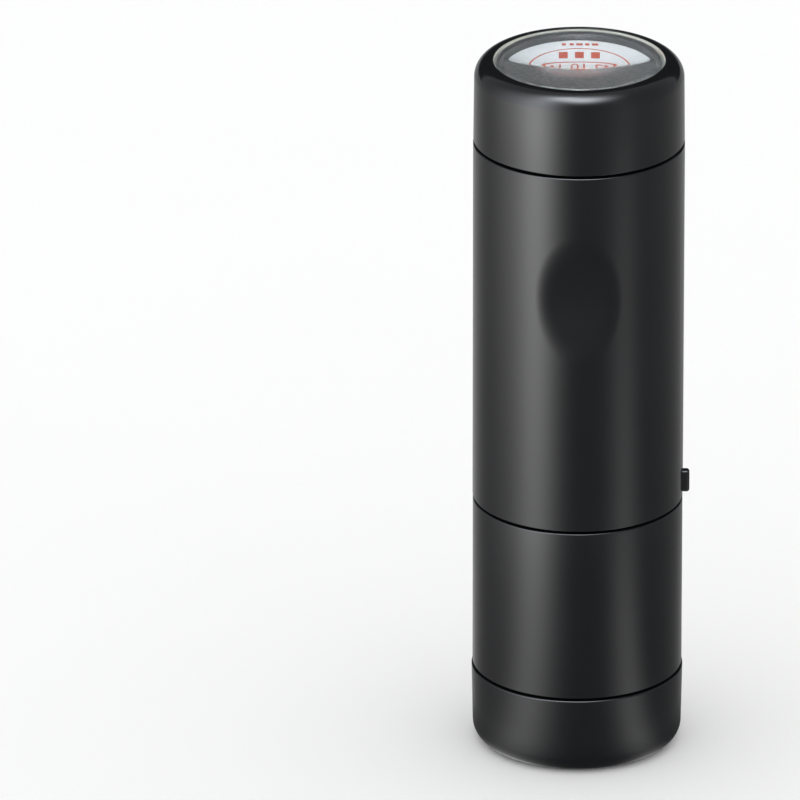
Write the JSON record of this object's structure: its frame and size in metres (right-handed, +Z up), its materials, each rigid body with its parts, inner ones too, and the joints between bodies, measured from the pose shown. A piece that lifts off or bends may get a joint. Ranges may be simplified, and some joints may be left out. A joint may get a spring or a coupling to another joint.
{
  "type": "rotary date stamp",
  "caption": "Slim capped rotary date stamp: cap, sliding barrel over thumb-turned date wheels and bands, spring skirt, lock lever, and a lens crown over an index label.",
  "frame": {"origin": "centre of the cap's flat foot, on the surface it stands on", "axes": "+Z up along the tube's axis, -Y to the front with the thumb dent, +X to the lock tab"},
  "size_m": [0.0248, 0.0242, 0.083],
  "materials": {
    "black_abs": "polished moulded black ABS",
    "grey_abs": "satin moulded grey ABS",
    "frame_acetal": "natural acetal",
    "wheel_acetal": "white acetal",
    "spring_steel": "drawn and blanked steel",
    "band_rubber": "inked date band rubber",
    "die_rubber": "porous die rubber, inked orange red",
    "ink_felt": "felt soaked with orange red ink",
    "seal_rubber": "moulded rubber",
    "clear_acrylic": "polished clear acrylic",
    "label_card": "white card printed orange red"
  },
  "bodies": {
    "cap": {"cap_shell": "black_abs", "cap_pad": "seal_rubber"},
    "stamp_body": {"lower_housing": "black_abs", "return_spring": "spring_steel", "die_holder": "frame_acetal", "name_die": "die_rubber", "ink_pad": "ink_felt", "band_nose": "frame_acetal", "date_band_1": "band_rubber", "date_band_2": "band_rubber", "date_band_3": "band_rubber", "date_band_4": "band_rubber", "date_band_5": "band_rubber", "wheel_axle": "spring_steel", "axle_spacer_left": "frame_acetal", "axle_spacer_right": "frame_acetal", "axle_clip_left": "spring_steel", "axle_clip_right": "spring_steel", "frame_plate_left": "frame_acetal", "frame_plate_right": "frame_acetal", "chassis_ring": "frame_acetal", "frame_bridge": "frame_acetal", "frame_screw": "spring_steel", "detent_comb": "spring_steel", "guide_tube": "frame_acetal", "guide_ring": "seal_rubber"},
    "skirt_slide": {"skirt": "grey_abs"},
    "lock": {"lock_lever": "black_abs"},
    "barrel_slide": {"barrel": "black_abs"},
    "crown_plug": {"crown": "black_abs", "index_lens": "clear_acrylic", "index_label": "label_card", "label_seat": "frame_acetal"},
    "wheel_1": {"date_wheel_1": "wheel_acetal"},
    "wheel_2": {"date_wheel_2": "wheel_acetal"},
    "wheel_3": {"date_wheel_3": "wheel_acetal"},
    "wheel_4": {"date_wheel_4": "wheel_acetal"},
    "wheel_5": {"date_wheel_5": "wheel_acetal"}
  },
  "joints": [
    {"name": "cap_pull", "type": "slide", "parent": "cap", "child": "stamp_body", "axis": [0, 0, 1], "range_m": [0, 0.012]},
    {"name": "skirt_press", "type": "slide", "parent": "stamp_body", "child": "skirt_slide", "axis": [0, 0, 1], "range_m": [0, 0.003], "stiffness_N_per_m": 600, "springref_m": -0.006, "deforming": ["return_spring"]},
    {"name": "lock_turn", "type": "hinge", "parent": "stamp_body", "child": "lock", "pos_m": [0, 0, 0.03145], "axis": [0, 0, 1], "range_deg": [0, 14]},
    {"name": "barrel_lift", "type": "slide", "parent": "stamp_body", "child": "barrel_slide", "axis": [0, 0, 1], "range_m": [0, 0.014]},
    {"name": "crown_pull", "type": "slide", "parent": "barrel_slide", "child": "crown_plug", "axis": [0, 0, 1], "range_m": [0, 0.008]},
    {"name": "wheel_turn_1", "type": "hinge", "parent": "stamp_body", "child": "wheel_1", "pos_m": [0, 0, 0.03195], "axis": [1, 0, 0], "continuous": true},
    {"name": "wheel_turn_2", "type": "hinge", "parent": "stamp_body", "child": "wheel_2", "pos_m": [0, 0, 0.03195], "axis": [1, 0, 0], "continuous": true},
    {"name": "wheel_turn_3", "type": "hinge", "parent": "stamp_body", "child": "wheel_3", "pos_m": [0, 0, 0.03195], "axis": [1, 0, 0], "continuous": true},
    {"name": "wheel_turn_4", "type": "hinge", "parent": "stamp_body", "child": "wheel_4", "pos_m": [0, 0, 0.03195], "axis": [1, 0, 0], "continuous": true},
    {"name": "wheel_turn_5", "type": "hinge", "parent": "stamp_body", "child": "wheel_5", "pos_m": [0, 0, 0.03195], "axis": [1, 0, 0], "continuous": true}
  ]
}
